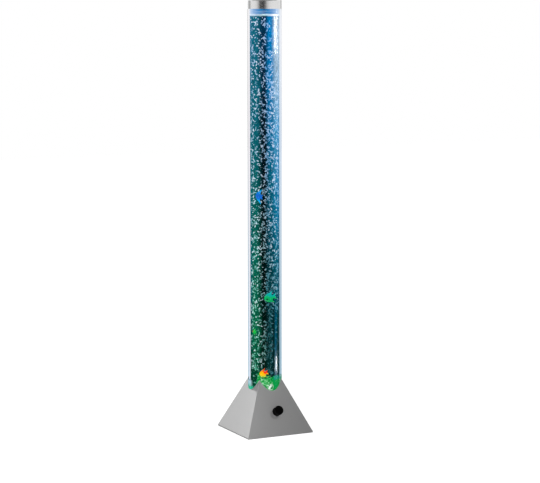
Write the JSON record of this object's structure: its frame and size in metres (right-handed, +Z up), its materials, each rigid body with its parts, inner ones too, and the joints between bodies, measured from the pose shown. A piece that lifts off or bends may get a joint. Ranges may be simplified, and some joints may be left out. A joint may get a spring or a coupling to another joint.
{
  "type": "bubble tube floor lamp",
  "caption": "Tall clear water tube on a square pyramid base with a knob: air bubbles carry plastic fish up and down in coloured LED light.",
  "frame": {"origin": "on the floor, at the middle of the square base", "axes": "+Z up along the tube, -Y out of the face with the knob, +X to the right seen from the knob"},
  "size_m": [0.2, 0.2, 1.2],
  "materials": {
    "silver_paint": "satin silver paint on moulded plastic",
    "black_plastic": "fine moulded texture",
    "grey_plastic": "moulded",
    "white_plastic": "moulded",
    "clear_acrylic": "polished, clear",
    "brushed_aluminium": "spun and brushed",
    "black_rubber": "matte",
    "silicone": "soft, milky",
    "steel": "zinc plated",
    "air_stone_grit": "sintered grit",
    "core_steel": "stacked laminations",
    "winding": "enamelled wire",
    "magnet": "sintered",
    "board_white": "solder mask",
    "board_green": "solder mask",
    "led_lens": "clear resin",
    "lead_red": "soft insulation",
    "fish_blue": "painted hollow plastic",
    "fish_teal": "painted hollow plastic",
    "fish_green": "painted hollow plastic",
    "fish_orange": "painted hollow plastic"
  },
  "bodies": {
    "lamp": {"base_shell": "silver_paint", "base_plate": "grey_plastic", "rubber_feet": "black_rubber", "base_screws": "steel", "tube_socket": "black_plastic", "socket_screws": "steel", "socket_gasket": "black_rubber", "tube_floor": "clear_acrylic", "acrylic_tube": "clear_acrylic", "air_nozzle": "white_plastic", "nozzle_nut": "white_plastic", "air_stone": "air_stone_grit", "nozzle_hose": "silicone", "check_valve": "white_plastic", "pump_hose": "silicone", "pump_tray": "black_plastic", "pump_pads": "black_rubber", "pump_screws": "steel", "valve_block": "grey_plastic", "pump_bellows": "black_rubber", "pump_core": "core_steel", "pump_coil": "winding", "pivot_pin": "steel", "led_board": "board_white", "led_chips": "led_lens", "led_screws": "steel", "control_board": "board_green", "board_parts": "grey_plastic", "board_screws": "steel", "rotary_switch": "grey_plastic", "switch_nut": "steel", "dc_jack": "black_plastic", "jack_nut": "steel", "wiring": "lead_red"},
    "knob": {"control_knob": "black_plastic", "switch_shaft": "steel"},
    "cap": {"top_cap": "brushed_aluminium", "cap_pads": "silicone"},
    "pump_arm": {"swing_arm": "white_plastic", "arm_magnet": "magnet"},
    "blue_fish": {"fish_blue": "fish_blue"},
    "teal_fish": {"fish_teal": "fish_teal"},
    "green_fish": {"fish_green": "fish_green"},
    "orange_fish": {"fish_orange": "fish_orange"}
  },
  "joints": [
    {"name": "knob_turn", "type": "hinge", "parent": "lamp", "child": "knob", "pos_m": [0, -0.0726, 0.065], "axis": [0, -0.9097, 0.4154], "range_deg": [-150, 150]},
    {"name": "cap_lift", "type": "slide", "parent": "lamp", "child": "cap", "axis": [0, 0, 1], "range_m": [0, 0.03]},
    {"name": "arm_swing", "type": "hinge", "parent": "lamp", "child": "pump_arm", "pos_m": [0.034, 0.038, 0.0321], "axis": [0, 1, 0], "range_deg": [-1.5, 1.5], "stiffness_Nm_per_rad": 1.5, "deforming": ["pump_bellows"]},
    {"name": "blue_fish_float", "type": "slide", "parent": "lamp", "child": "blue_fish", "axis": [0, 0, 1], "range_m": [-0.528, 0.48]},
    {"name": "teal_fish_float", "type": "slide", "parent": "lamp", "child": "teal_fish", "axis": [0, 0, 1], "range_m": [-0.254, 0.762]},
    {"name": "green_fish_float", "type": "slide", "parent": "lamp", "child": "green_fish", "axis": [0, 0, 1], "range_m": [-0.162, 0.867]},
    {"name": "orange_fish_float", "type": "slide", "parent": "lamp", "child": "orange_fish", "axis": [0, 0, 1], "range_m": [-0.044, 0.978]}
  ]
}
